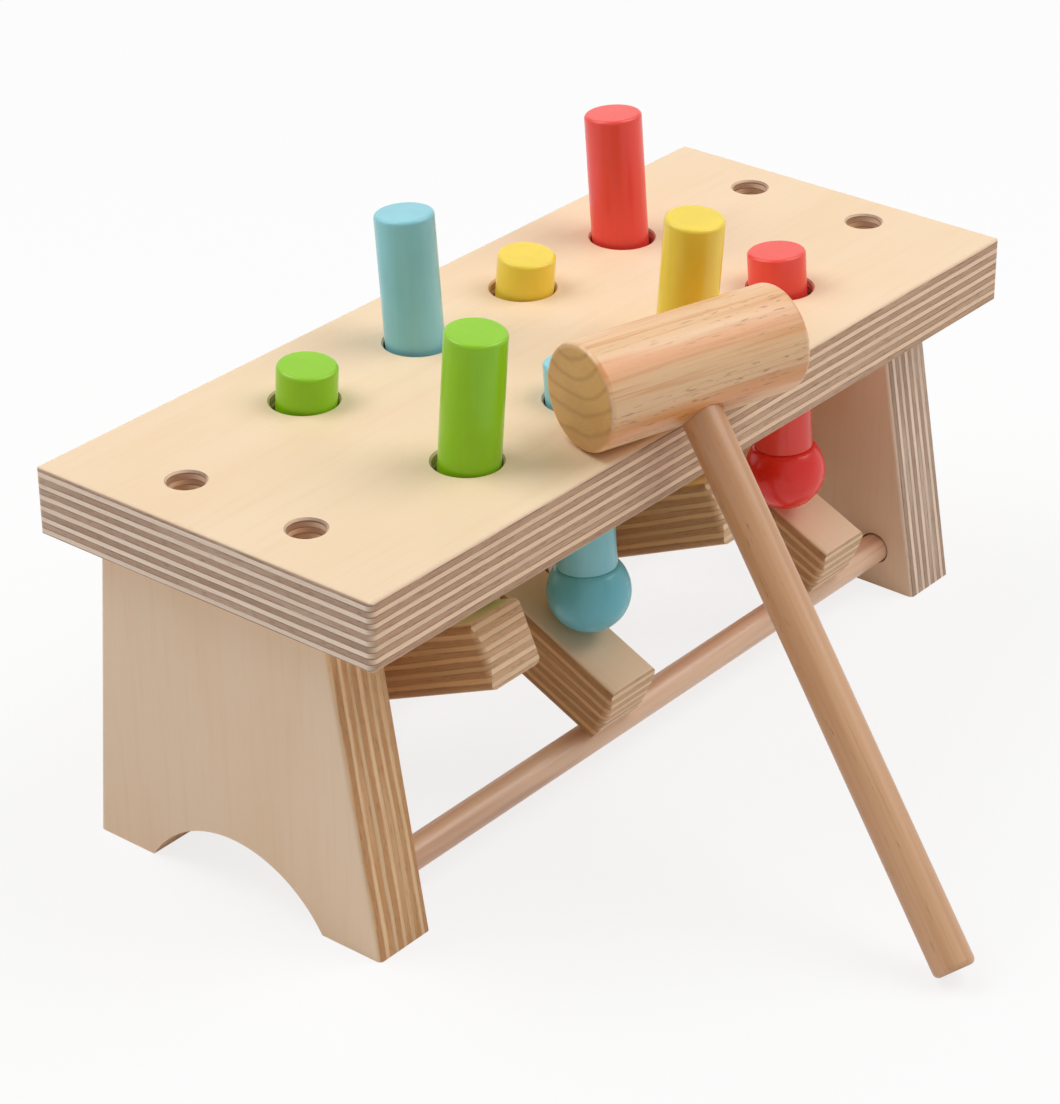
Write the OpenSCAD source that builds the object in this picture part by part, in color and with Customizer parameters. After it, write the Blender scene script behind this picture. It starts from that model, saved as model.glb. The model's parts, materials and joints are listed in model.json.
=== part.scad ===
// Peg pounding bench: a plywood bench whose pegs stand in pairs on rocking levers,
// so that knocking one peg down with the mallet lifts its partner.
// Millimetres. +X runs along the bench, +Y to its back, +Z up.
// The origin is on the floor, under the middle of the bench.

/* [Top board] */
// Length of the top board
top_l = 254; // [225:1:300]
// Width of the top board, front to back
top_w = 106; // [95:0.5:125]
// Thickness of the top board
top_t = 18; // [15:0.5:22]
// Radius of the sanded edges of the boards
board_ease = 1.2; // [0.6:0.1:2]
// Radius of the corners of the top board, seen from above
top_corner = 2; // [1.2:0.1:4]
// Width of the broken edge round the holes in the top
hole_ease = 0.5; // [0.3:0.1:0.8]

/* [Legs] */
// Thickness of a leg board
leg_t = 18; // [15:0.5:22]
// Distance from the end of the top to the outer face of a leg
leg_inset = 6.5; // [2:0.5:10]
// Distance from the middle of a leg to its front edge, under the top
leg_front = 32; // [28:0.5:38]
// Distance from the middle of a leg to its back edge, under the top
leg_back = 39; // [28:0.5:42]
// Width of a leg at the floor
leg_foot_w = 93; // [86:1:105]
// Width of the arch between the feet
arch_w = 56; // [48:1:60]
// Height of the arch
arch_h = 15.5; // [10:0.5:18]

/* [Pegs] */
// Diameter of a peg
peg_d = 15.3; // [13:0.1:17]
// How much wider a peg hole is than its peg
peg_play = 1.9; // [1:0.1:2.4]
// Length of a peg above its ball
peg_l = 55.4; // [50:0.2:64]
// Radius of the rounded rim on top of a peg
peg_ease = 1; // [0.6:0.1:2.5]
// Distance between neighbouring pegs along the bench
peg_pitch = 42; // [38:0.5:46]
// Distance between the front and the back row of pegs
peg_row = 52; // [48:0.5:56]
// Diameter of the ball under a peg
ball_d = 21.5; // [20:0.1:24]
// Height of the ball's flat shoulder above its centre
ball_flat = 7; // [5.5:0.1:8]
// Diameter of the tenon that joins a peg to its ball
tenon_d = 9; // [7:0.1:11]
// Length of that tenon
tenon_l = 8; // [5:0.5:10]
// How far the pegs, levers and screws sit off the middle of the bench, to the right
works_x = 2; // [-3:0.5:3]
// How far they sit off the middle of the bench, to the back
works_y = 1; // [-2:0.5:2]

/* [Levers] */
// Length of a lever
lever_l = 95; // [86:0.5:100]
// Width of a lever
lever_w = 18; // [16:0.5:24]
// Thickness of a lever
lever_t = 17.5; // [15:0.5:20]
// Distance between neighbouring levers along the axle
lever_pitch = 46; // [42:0.5:47]
// Radius of the sanded edges of a lever
lever_ease = 2; // [1:0.1:3]
// Radius of the arc that rounds the ends of a lever, seen from the side
lever_end_r = 25; // [14:1:44]
// Angle between a level lever and one that rests on its rail
lever_tilt = 24.6; // [20:0.1:26]

/* [Rods] */
// Diameter of the axle that carries the levers
axle_d = 8; // [6:0.1:10]
// Diameter of the rails that stop the levers
rail_d = 8.2; // [6:0.1:10]
// Distance between the front and the back rail
rail_spread = 68.5; // [60:0.5:72]
// Height of the rails' middle above the floor
rail_h = 11.3; // [9:0.1:14]
// How much wider the rails' holes are than the rails
rail_play = 0.8; // [0.1:0.1:1]
// Depth of the holes that hold the rods in the legs
socket_depth = 10; // [6:0.5:13]
// Diameter of the spacers between the levers
spacer_d = 22; // [18:0.5:24]
// Room along the axle on each side of a lever
side_gap = 0.5; // [0.3:0.1:1]

/* [Screws] */
// Distance between the two screws of a leg
screw_spread = 38; // [30:1:44]
// Diameter of the counterbore over a screw head
counterbore_d = 9.5; // [9:0.1:11]
// Depth of that counterbore
counterbore_depth = 6.5; // [5:0.1:8]
// Diameter of a screw head
screw_head_d = 8.6; // [7.5:0.1:8.8]
// Height of a screw head
screw_head_h = 3; // [2.4:0.1:3.4]
// Diameter of a screw's shank
screw_d = 4.2; // [3.5:0.1:5]
// Length of a screw under its head
screw_l = 38; // [28:1:45]

/* [Mallet] */
// Diameter of the mallet's head
head_d = 27.2; // [24:0.1:30]
// Length of the mallet's head
head_l = 59.5; // [50:0.5:70]
// Radius of the rounded rims of the head
head_ease = 1.6; // [0.8:0.1:3]
// Diameter of the mallet's handle
handle_d = 10.5; // [9:0.1:12]
// Length from the middle of the head to the end of the handle
handle_l = 157; // [146:1:180]
// Depth of the handle's hole, counted from the middle of the head
handle_sink = 5; // [2:0.5:8]
// Radius of the rounded end of the handle
handle_ease = 1.5; // [0.8:0.1:3]
// Distance from the second column of pegs to the head's middle, along the bench
head_shift = 6.5; // [4:0.5:12]
// Least distance from the head's middle back to the front edge of the top
head_back = 2.2; // [0:0.1:3]
// Least distance between the head and the front row of pegs
head_peg_gap = 1.5; // [1:0.1:6]
// Turn of the head away from the line of the bench
head_turn = 16; // [8:1:20]

/* [Fits] */
// Radial clearance of a lever on its axle
run_gap = 0.08; // [0.04:0.01:0.1]
// Radial clearance of a glued joint
glue_gap = 0.05; // [0.03:0.01:0.1]
// Gap left where loose pieces rest on each other
rest_gap = 0.3; // [0.2:0.05:0.4]
// Gap between a leaning peg and the rims of its hole
rim_gap = 0.25; // [0.2:0.05:0.3]
// Room between a raised ball and the underside of the top
lift_room = 2; // [1.5:0.1:8]

/* [Hidden] */
$fn = 64;
// Overshoot that keeps a cut clear of the face it goes through
cut = 1;

// Colours of the pieces
plywood = "#E9D3B0";
beech = "#D3A988";
pine = "#D9B48A";
steel = "#A9A69E";
lime_green = "#86BE2F";
sky_blue = "#6FB4BE";
warm_yellow = "#F2CE4B";
coral_red = "#E4504A";

// The columns of pegs from left to right, and which peg of each stands up: 1 the front one, -1 the back one
GREEN = 0;
BLUE = 1;
YELLOW = 2;
RED = 3;
COLUMNS = 4;
front_up = [1, -1, 1, -1];
FRONT = -1;
BACK = 1;

// Heights, from the rails up: a lever rests on its rail, a raised ball on its lever, the top above the ball
rail_reach = rail_spread / 2;
axle_z = rail_h + (rail_d / 2 + rest_gap + lever_t / 2) / cos(lever_tilt) + rail_reach * tan(lever_tilt);
ball_r = ball_d / 2;
ball_lift = (lever_t / 2 + rest_gap + ball_r) / cos(lever_tilt);
raised_ball_z = axle_z + ball_lift + peg_row / 2 * tan(lever_tilt);
leg_h = raised_ball_z + ball_flat + lift_room;
bench_h = leg_h + top_t;

// Places along and across the bench
leg_out_x = top_l / 2 - leg_inset;
leg_in_x = leg_out_x - leg_t;
leg_mid_x = leg_out_x - leg_t / 2;
function column_x(i) = works_x + (i - (COLUMNS - 1) / 2) * peg_pitch;
function lever_x(i) = works_x + (i - (COLUMNS - 1) / 2) * lever_pitch;
function row_y(side) = works_y + side * peg_row / 2;
function rail_y(side) = works_y + side * rail_reach;

// A leg's sloping edges and its arch
front_slope = atan((leg_foot_w / 2 - leg_front) / leg_h);
back_slope = atan((leg_foot_w / 2 - leg_back) / leg_h);
arch_r = (pow(arch_w / 2, 2) + pow(arch_h, 2)) / (2 * arch_h);

// A peg leans in its hole as far as the play allows, the way that its lever's slope pushes its ball
peg_hole_d = peg_d + peg_play;
peg_lean = atan((peg_play - 2 * rim_gap) / top_t);
hole_mid_z = bench_h - top_t / 2;
function ball_z(i, side) =
    let (lean = tan(front_up[i] * peg_lean), slope = tan(front_up[i] * lever_tilt))
    (axle_z + ball_lift - (side * peg_row / 2 + hole_mid_z * lean) * slope) / (1 - lean * slope);
function ball_y(i, side) =
    row_y(side) + tan(front_up[i] * peg_lean) * (hole_mid_z - ball_z(i, side));

// The mallet's head lies on the front edge of the top, and its handle leans out to the floor
head_r = head_d / 2;
head_z = bench_h + rest_gap + head_r;
head_x = column_x(BLUE) + head_shift;
head_from_pegs = (head_r + head_peg_gap + peg_d / 2) / cos(head_turn) + head_shift * tan(head_turn);
head_y = -max(top_w / 2 - head_back, head_from_pegs - row_y(FRONT));
handle_reach = handle_l - handle_ease;
handle_rim = handle_d / 2 - handle_ease;
handle_drop = head_z - handle_ease - rest_gap;
handle_lean = atan(handle_rim / handle_reach) + acos(handle_drop / norm([handle_reach, handle_rim]));

// Rectangle with rounded corners, around the origin
module eased_rect(a, b, r) {
    square([a - 2 * r, b], center = true);
    square([a, b - 2 * r], center = true);
    for (x = [-1, 1], y = [-1, 1])
        translate([x * (a / 2 - r), y * (b / 2 - r)]) circle(r);
}

// Block with every edge rounded and its corners, seen from above, rounded by their own radius
module eased_block(size, r, corner) {
    intersection() {
        linear_extrude(size.z, center = true) eased_rect(size.x, size.y, corner);
        rotate([90, 0, 0]) linear_extrude(size.y, center = true) eased_rect(size.x, size.z, r);
        rotate([90, 0, 90]) linear_extrude(size.x, center = true) eased_rect(size.y, size.z, r);
    }
}

// Round bar along +Z from z = 0, with both rims rounded
module eased_bar(d, l, r) {
    rotate_extrude() {
        translate([0, r]) square([d / 2, l - 2 * r]);
        square([d / 2 - r, l]);
        for (z = [r, l - r])
            translate([d / 2 - r, z]) circle(r);
    }
}

module along_x() {
    rotate([0, 90, 0]) children();
}

// Puts its children under each of the four screws, at the surface of the top
module at_screws() {
    for (x = [-1, 1], y = [-1, 1])
        translate([works_x + x * leg_mid_x, works_y + y * screw_spread / 2, bench_h]) children();
}

// Broken edge of a hole, at the surface of the top
module hole_rim(d) {
    translate([0, 0, -hole_ease]) cylinder(d1 = d, d2 = d + 2 * (hole_ease + cut), h = hole_ease + cut);
}

// Hole for one screw, down from the surface of the top
module screw_hole() {
    hole_rim(counterbore_d);
    translate([0, 0, -counterbore_depth]) cylinder(d = counterbore_d, h = counterbore_depth + cut);
    translate([0, 0, -counterbore_depth - screw_l - glue_gap])
        cylinder(d = screw_d + 2 * glue_gap, h = screw_l + glue_gap + cut);
}

module bench_top() {
    color(plywood)
    difference() {
        translate([0, 0, bench_h - top_t / 2]) eased_block([top_l, top_w, top_t], board_ease, top_corner);
        for (i = [0 : COLUMNS - 1], side = [FRONT, BACK])
            translate([column_x(i), row_y(side), bench_h]) {
                translate([0, 0, -top_t - cut]) cylinder(d = peg_hole_d, h = top_t + 2 * cut);
                hole_rim(peg_hole_d);
            }
        at_screws() screw_hole();
    }
}

// Board of a leg before its edges are cut, with Y across and Z up
module leg_board() {
    difference() {
        translate([-leg_foot_w, 0]) square([2 * leg_foot_w, leg_h]);
        translate([0, arch_h - arch_r]) circle(arch_r, $fn = 128);
    }
}

// Tall bar whose front edges are rounded, leaning as an edge of a leg does
module leg_edge(slope) {
    translate([0, -leg_foot_w / 2, 0])
        rotate([-slope, 0, 0])
            linear_extrude(4 * leg_h, center = true)
                translate([0, leg_foot_w]) eased_rect(leg_t, 2 * leg_foot_w, board_ease);
}

// A leg around x = 0, with the rods' sockets in its +X face
module leg() {
    difference() {
        intersection() {
            rotate([90, 0, 90]) linear_extrude(leg_t + 2 * cut, center = true) leg_board();
            leg_edge(front_slope);
            mirror([0, 1, 0]) leg_edge(back_slope);
        }
        translate([leg_t / 2 - socket_depth, works_y, axle_z])
            along_x() cylinder(d = axle_d + 2 * glue_gap, h = socket_depth + cut);
        for (side = [FRONT, BACK])
            translate([leg_t / 2 - socket_depth, rail_y(side), rail_h])
                along_x() cylinder(d = rail_d + rail_play, h = socket_depth + cut);
    }
}

module left_leg() {
    color(plywood)
    difference() {
        translate([-leg_mid_x, 0, 0]) leg();
        at_screws() screw_hole();
    }
}

module right_leg() {
    color(plywood)
    difference() {
        translate([leg_mid_x, 0, 0]) mirror([1, 0, 0]) leg();
        at_screws() screw_hole();
    }
}

// Screw with a round head, a cross recess and a point, its head's underside at the counterbore's floor
module screw() {
    recess = screw_head_d / 2;
    blade = screw_head_h / 3;
    translate([0, 0, -counterbore_depth])
    difference() {
        union() {
            cylinder(d = screw_head_d, h = screw_head_h - blade);
            translate([0, 0, screw_head_h - blade])
                cylinder(d1 = screw_head_d, d2 = screw_head_d - 2 * blade, h = blade);
            translate([0, 0, screw_d - screw_l]) cylinder(d = screw_d, h = screw_l - screw_d);
            translate([0, 0, -screw_l]) cylinder(d1 = 0, d2 = screw_d, h = screw_d);
        }
        for (turn = [0, 90])
            rotate([0, 0, turn])
                translate([-recess / 2, -blade / 2, screw_head_h / 2]) cube([recess, blade, screw_head_h]);
    }
}

module leg_screws() {
    color(steel) at_screws() screw();
}

// Rod along X whose ends stand on the floors of the legs' sockets
module rod(d, y, z) {
    reach = leg_in_x + socket_depth;
    translate([-reach, y, z]) along_x() cylinder(d = d, h = 2 * reach);
}

module front_rail() {
    color(beech) rod(rail_d, rail_y(FRONT), rail_h);
}

module back_rail() {
    color(beech) rod(rail_d, rail_y(BACK), rail_h);
}

module lever_axle() {
    color(beech) rod(axle_d, works_y, axle_z);
}

// Round spacer on the axle, from one place along the bench to another
module spacer(from_x, to_x) {
    color(beech)
    translate([from_x, works_y, axle_z])
        along_x()
            difference() {
                cylinder(d = spacer_d, h = to_x - from_x);
                translate([0, 0, -cut]) cylinder(d = axle_d + 2 * glue_gap, h = to_x - from_x + 2 * cut);
            }
}

// Faces of a lever, with the room that it needs beside it
function lever_left(i) = lever_x(i) - lever_w / 2 - side_gap;
function lever_right(i) = lever_x(i) + lever_w / 2 + side_gap;

module left_end_spacer() {
    spacer(-leg_in_x, lever_left(GREEN));
}

module green_blue_spacer() {
    spacer(lever_right(GREEN), lever_left(BLUE));
}

module blue_yellow_spacer() {
    spacer(lever_right(BLUE), lever_left(YELLOW));
}

module yellow_red_spacer() {
    spacer(lever_right(YELLOW), lever_left(RED));
}

module right_end_spacer() {
    spacer(lever_right(RED), leg_in_x);
}

// Side view of a lever, with round-nosed ends
module lever_side() {
    intersection() {
        eased_rect(lever_l, lever_t, lever_ease);
        union() {
            square([lever_l - 2 * lever_end_r, lever_t], center = true);
            for (end = [-1, 1])
                translate([end * (lever_l / 2 - lever_end_r), 0]) circle(lever_end_r, $fn = 128);
        }
    }
}

// Lever on the axle, rocked so that one end is on its rail
module lever(i) {
    color(plywood)
    translate([lever_x(i), works_y, axle_z])
        rotate([-front_up[i] * lever_tilt, 0, 0])
            difference() {
                intersection() {
                    rotate([90, 0, 90]) linear_extrude(lever_w, center = true) lever_side();
                    eased_block([lever_w, lever_l, lever_t], lever_ease, lever_ease);
                }
                along_x() cylinder(d = axle_d + 2 * run_gap, h = lever_w + 2 * cut, center = true);
            }
}

module green_lever() {
    lever(GREEN);
}

module blue_lever() {
    lever(BLUE);
}

module yellow_lever() {
    lever(YELLOW);
}

module red_lever() {
    lever(RED);
}

// Puts a peg or its ball, drawn upright around the ball's centre, on its lever and in its hole
module in_column(i, side) {
    translate([column_x(i), ball_y(i, side), ball_z(i, side)])
        rotate([front_up[i] * peg_lean, 0, 0]) children();
}

// Peg that stands on its ball's shoulder, with its tenon inside the ball
module peg(i, side, paint) {
    color(paint)
    in_column(i, side)
        translate([0, 0, ball_flat]) {
            rotate_extrude() {
                square([peg_d / 2, peg_l - peg_ease]);
                square([peg_d / 2 - peg_ease, peg_l]);
                translate([peg_d / 2 - peg_ease, peg_l - peg_ease]) circle(peg_ease);
            }
            translate([0, 0, -tenon_l]) cylinder(d = tenon_d, h = tenon_l);
        }
}

// Ball with a flat shoulder and the hole for the peg's tenon
module ball(i, side, paint) {
    color(paint)
    in_column(i, side)
        difference() {
            sphere(ball_r);
            translate([-ball_r, -ball_r, ball_flat]) cube(ball_d);
            translate([0, 0, ball_flat - tenon_l]) cylinder(d = tenon_d + 2 * glue_gap, h = tenon_l + cut);
        }
}

module green_front_peg() {
    peg(GREEN, FRONT, lime_green);
}

module green_back_peg() {
    peg(GREEN, BACK, lime_green);
}

module blue_front_peg() {
    peg(BLUE, FRONT, sky_blue);
}

module blue_back_peg() {
    peg(BLUE, BACK, sky_blue);
}

module yellow_front_peg() {
    peg(YELLOW, FRONT, warm_yellow);
}

module yellow_back_peg() {
    peg(YELLOW, BACK, warm_yellow);
}

module red_front_peg() {
    peg(RED, FRONT, coral_red);
}

module red_back_peg() {
    peg(RED, BACK, coral_red);
}

module green_front_ball() {
    ball(GREEN, FRONT, lime_green);
}

module green_back_ball() {
    ball(GREEN, BACK, lime_green);
}

module blue_front_ball() {
    ball(BLUE, FRONT, sky_blue);
}

module blue_back_ball() {
    ball(BLUE, BACK, sky_blue);
}

module yellow_front_ball() {
    ball(YELLOW, FRONT, warm_yellow);
}

module yellow_back_ball() {
    ball(YELLOW, BACK, warm_yellow);
}

module red_front_ball() {
    ball(RED, FRONT, coral_red);
}

module red_back_ball() {
    ball(RED, BACK, coral_red);
}

// Puts the mallet, drawn with its head along X and its handle straight down, where it leans on the bench
module at_mallet() {
    translate([head_x, head_y, head_z]) rotate([0, 0, -head_turn]) rotate([-handle_lean, 0, 0]) children();
}

module mallet_head() {
    color(pine)
    at_mallet()
        difference() {
            translate([-head_l / 2, 0, 0]) along_x() eased_bar(head_d, head_l, head_ease);
            translate([0, 0, -head_d]) cylinder(d = handle_d + 2 * glue_gap, h = head_d + handle_sink);
        }
}

module mallet_handle() {
    color(beech)
    at_mallet()
        translate([0, 0, -handle_l]) eased_bar(handle_d, handle_l + handle_sink, handle_ease);
}

bench_top();
left_leg();
right_leg();
leg_screws();
front_rail();
back_rail();
lever_axle();
left_end_spacer();
green_blue_spacer();
blue_yellow_spacer();
yellow_red_spacer();
right_end_spacer();
green_lever();
blue_lever();
yellow_lever();
red_lever();
green_front_peg();
green_back_peg();
blue_front_peg();
blue_back_peg();
yellow_front_peg();
yellow_back_peg();
red_front_peg();
red_back_peg();
green_front_ball();
green_back_ball();
blue_front_ball();
blue_back_ball();
yellow_front_ball();
yellow_back_ball();
red_front_ball();
red_back_ball();
mallet_head();
mallet_handle();
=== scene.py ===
"""Peg pounding bench: looks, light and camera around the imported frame."""
import json
import math

import bmesh
import bpy
from bpy.props import FloatProperty, FloatVectorProperty, IntProperty, PointerProperty
from mathutils import Matrix, Vector


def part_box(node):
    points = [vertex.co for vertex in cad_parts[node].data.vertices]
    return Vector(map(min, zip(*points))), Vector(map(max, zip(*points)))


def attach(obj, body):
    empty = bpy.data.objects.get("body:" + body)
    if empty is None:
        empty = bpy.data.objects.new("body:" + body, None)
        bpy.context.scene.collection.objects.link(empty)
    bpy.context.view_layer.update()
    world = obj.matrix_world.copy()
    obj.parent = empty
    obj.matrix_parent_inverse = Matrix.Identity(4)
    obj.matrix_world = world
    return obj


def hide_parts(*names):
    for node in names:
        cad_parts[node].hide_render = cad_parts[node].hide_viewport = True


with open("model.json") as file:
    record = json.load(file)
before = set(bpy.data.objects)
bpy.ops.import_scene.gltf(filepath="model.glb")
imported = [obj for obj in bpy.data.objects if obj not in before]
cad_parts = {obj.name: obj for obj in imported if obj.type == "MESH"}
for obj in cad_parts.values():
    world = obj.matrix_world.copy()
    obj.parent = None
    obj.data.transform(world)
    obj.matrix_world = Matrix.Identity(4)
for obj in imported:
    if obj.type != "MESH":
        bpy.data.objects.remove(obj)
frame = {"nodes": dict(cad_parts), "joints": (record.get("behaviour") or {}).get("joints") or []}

bl_info = {
    "name": "Peg pounding bench",
    "version": (1, 0, 0),
    "blender": (4, 5, 0),
    "location": "View3D > Sidebar > Bench",
    "description": "Dresses a wooden pounding bench with its plywood, turned wood, paint and stage",
    "category": "Object",
}

MM = 0.001
COLOURS = ("green", "blue", "yellow", "red")
ROWS = ("front", "back")
SPACERS = ("left_end", "green_blue", "blue_yellow", "yellow_red", "right_end")
RIGHT_ANGLE = math.radians(90)
SHARP_ANGLE = math.radians(38.0)
WELD = 0.002 * MM
ARC_STEPS = 8
BALL_STEPS = 40
NEARLY_ZERO = 0.0001

# Camera, lamps and floor
IMAGE_HEIGHT = 1104
SENSOR = 36.0
LEFT_PLACE = (-0.42, 0.70, 1.20)
RIGHT_PLACE = (0.62, -0.54, 1.20)
LAMP_AIM = (0, 0, 0.06)
LAMP_SIZE = 1.0
FLOOR_REACH = 4.0
FLOOR_WAVES = (3, 3, 3)
GLOW_NEAR, GLOW_FAR = 0.80, 1.0
GLOW_FROM, GLOW_TO = 0.25, 1.3

# Plywood: waves or cells in a metre along X, Y and Z of a board, with Z through its plies
SWAY_WAVES = (16, 16, 90)
FADING_WAVES = (24, 24, 170)
STREAK_WAVES = (45, 45, 2400)
SPECK_WAVES = (900, 900, 1300)
DASH_WAVES = (330, 330, 3000)
BREAK_WAVES = (75, 75, 700)
KNOT_CELLS = (38, 38, 230)
BROAD_WAVES = (6, 30, 1)
FINE_WAVES = (24, 430, 24)
HAIR_WAVES = (60, 1700, 60)
PORE_CELLS = (50, 85, 40)
LIGHT_SHARE = 0.42
PLY_RELIEF = 0.16 * MM

# Solid wood: the same along X, Y and Z of a piece, with Z along its grain, and the rings on its ends
WOOD_BROAD_WAVES = (120, 120, 7)
WOOD_FINE_WAVES = (900, 900, 20)
WOOD_DASH_WAVES = (1500, 1500, 210)
WOOD_BAND_WAVES = (75, 75, 12)
RING_WAVES = (60, 60, 1)
END_PORE_WAVES = (1500, 1500, 1)
HEART = (0.019, 0.011, 0.0)
RINGS = 210.0
WOOD_RELIEF = 0.12 * MM

# Paint and metal: the same along the axes of the scene
PAINT_GRAIN_WAVES = (700, 700, 18)
PAINT_CLOUD_WAVES = (90, 90, 60)
PAINT_RELIEF = 0.08 * MM
SMUDGE_WAVES = (500, 500, 500)
SCRATCH_WAVES = (300, 5000, 300)
METAL_RELIEF = 0.03 * MM

# Shares of red, green and blue that the darker grain keeps
DEEP_SHADE = (0.52, 0.47, 0.43)
BROAD_SHADE = (0.95, 0.89, 0.80)
FINE_SHADE = (0.90, 0.82, 0.72)
HAIR_SHADE = (0.82, 0.72, 0.60)
PORE_SHADE = (0.40, 0.30, 0.22)
WOOD_FINE_SHADE = (0.84, 0.76, 0.68)
END_BROAD_SHADE = (0.86, 0.80, 0.74)
RING_SHADE = (0.66, 0.56, 0.48)
END_PORE_SHADE = (0.62, 0.52, 0.44)

# Parts of a screw, as shares of its length or of its head, and the steps and sides of its thread
THREAD_SHARE = 0.66
THREAD_END = 0.90
THREAD_STEPS = 28
THREAD_SIDES = 4
RECESS_SPAN = 0.5
RECESS_WIDTH = 0.30


def millimetres(name, description, default):
    """A length property, given in millimetres and kept in metres."""
    return FloatProperty(name=name, description=description, default=default * MM, min=0.0, precision=5,
                         unit="LENGTH", subtype="DISTANCE")


def tint(name, description, red, green, blue):
    """A colour property, given as it looks on a screen, from 0 to 255."""
    return FloatVectorProperty(name=name, description=description, subtype="COLOR", size=3, min=0.0, max=1.0,
                               default=[linear(channel) for channel in (red, green, blue)])


def linear(channel):
    """The light that a screen gives off for a channel value from 0 to 255."""
    level = channel / 255.0
    return level / 12.92 if level <= 0.04045 else ((level + 0.055) / 1.055) ** 2.4


def joint_named(name):
    return next(joint for joint in frame["joints"] if joint["name"] == name)


class PlywoodSettings(bpy.types.PropertyGroup):
    """Plywood of the top, the legs and the levers."""
    plies: IntProperty(name="Plies", description="Number of veneers in a board", default=13, min=3)
    lever_thickness: millimetres("Lever thickness", "Thickness of the levers", 17.5)
    face: tint("Face", "Veneer on the faces of the top", 250, 223, 189)
    leg_face: tint("Leg face", "Veneer on the faces of the legs", 243, 214, 184)
    lever_face: tint("Lever face", "Veneer on the faces of the levers", 246, 216, 184)
    edge_light: tint("Edge light", "Lighter veneers on the ends of the top and on the right leg", 248, 224, 203)
    edge_dark: tint("Edge dark", "Darker veneers on the ends of the top and on the right leg", 186, 154, 131)
    long_light: tint("Long light", "Lighter veneers on the long edges of the top", 247, 214, 182)
    long_dark: tint("Long dark", "Darker veneers on the long edges of the top", 200, 160, 130)
    warm_light: tint("Warm light", "Lighter veneers on the edges of the left leg", 240, 203, 160)
    warm_dark: tint("Warm dark", "Darker veneers on the edges of the left leg", 206, 152, 102)
    lever_light: tint("Lever light", "Lighter veneers on the sides of the levers", 222, 178, 128)
    lever_dark: tint("Lever dark", "Darker veneers on the sides of the levers", 190, 142, 98)
    butt_light: tint("Butt light", "Lighter veneers on the ends of the levers", 249, 216, 178)
    butt_dark: tint("Butt dark", "Darker veneers on the ends of the levers", 220, 178, 140)


class TurnedSettings(bpy.types.PropertyGroup):
    """Sizes and woods of the pieces that are turned."""
    segments: IntProperty(name="Segments", description="Faces round a turned piece", default=96, min=24)
    peg_diameter: millimetres("Peg diameter", "Diameter of a peg", 15.3)
    peg_length: millimetres("Peg length", "Length of a peg above its ball", 55.4)
    peg_rim: millimetres("Peg rim", "Radius of the rounded rim on top of a peg", 1.0)
    ball_diameter: millimetres("Ball diameter", "Diameter of the ball under a peg", 21.5)
    ball_flat: millimetres("Ball flat", "Height of the ball's shoulder above its centre", 7.0)
    # Painted shade: the balls take their peg's paint raised to this power, darker and deeper, to stand for the shade
    # they sit in under the levers.
    ball_depth: FloatProperty(name="Ball painted shade", description="How much darker the balls are painted, as painted shade under the levers", default=1.4,
                              min=1.0)
    tenon_diameter: millimetres("Tenon diameter", "Diameter of the tenon between peg and ball", 9.0)
    tenon_length: millimetres("Tenon length", "Length of the tenon between peg and ball", 8.0)
    glue_gap: millimetres("Glue gap", "Room for glue round a tenon or rod", 0.05)
    axle_diameter: millimetres("Axle diameter", "Diameter of the axle that carries the levers", 8.0)
    rod_rim: millimetres("Rod rim", "Radius of the broken edge on rods and spacers", 0.4)
    beech: tint("Beech", "Ground colour of the rails, the axle and the spacers", 242, 200, 166)
    beech_streak: tint("Beech streak", "Darker streaks in the beech", 220, 172, 140)
    beech_fleck: tint("Beech fleck", "Short brown flecks in the beech", 158, 108, 76)


class MalletSettings(bpy.types.PropertyGroup):
    """Sizes and wood of the mallet."""
    head_diameter: millimetres("Head diameter", "Diameter of the mallet's head", 27.2)
    head_length: millimetres("Head length", "Length of the mallet's head", 59.5)
    head_rim: millimetres("Head rim", "Radius of the rounded rims of the head", 1.6)
    head_turn: FloatProperty(name="Head turn", description="Turn of the head away from the line of the bench",
                             default=math.radians(16.0), subtype="ANGLE", unit="ROTATION")
    handle_diameter: millimetres("Handle diameter", "Diameter of the handle", 10.5)
    handle_length: millimetres("Handle length", "Length from the middle of the head to the end of the handle", 157.0)
    handle_sink: millimetres("Handle sink", "Depth of the handle's hole past the middle of the head", 5.0)
    handle_rim: millimetres("Handle rim", "Radius of the rounded end of the handle", 1.5)
    wood: tint("Wood", "Ground colour of the head", 242, 197, 148)
    warm_band: tint("Warm band", "Wide orange bands in the head", 232, 158, 92)
    fleck: tint("Fleck", "Short brown flecks in the head", 168, 108, 60)
    end_grain: tint("End grain", "Ends of the head, cut across the grain", 220, 166, 106)
    handle_wood: tint("Handle wood", "Ground colour of the handle", 218, 167, 122)
    handle_streak: tint("Handle streak", "Darker streaks in the handle", 202, 147, 100)
    handle_fleck: tint("Handle fleck", "Short brown flecks in the handle", 146, 98, 64)


class PaintSettings(bpy.types.PropertyGroup):
    """Satin paint of the pegs and their balls."""
    green: tint("Green", "Paint of the first pair of pegs", 148, 212, 14)
    blue: tint("Blue", "Paint of the second pair of pegs", 144, 212, 224)
    yellow: tint("Yellow", "Paint of the third pair of pegs", 253, 221, 72)
    red: tint("Red", "Paint of the fourth pair of pegs", 251, 78, 66)


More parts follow.
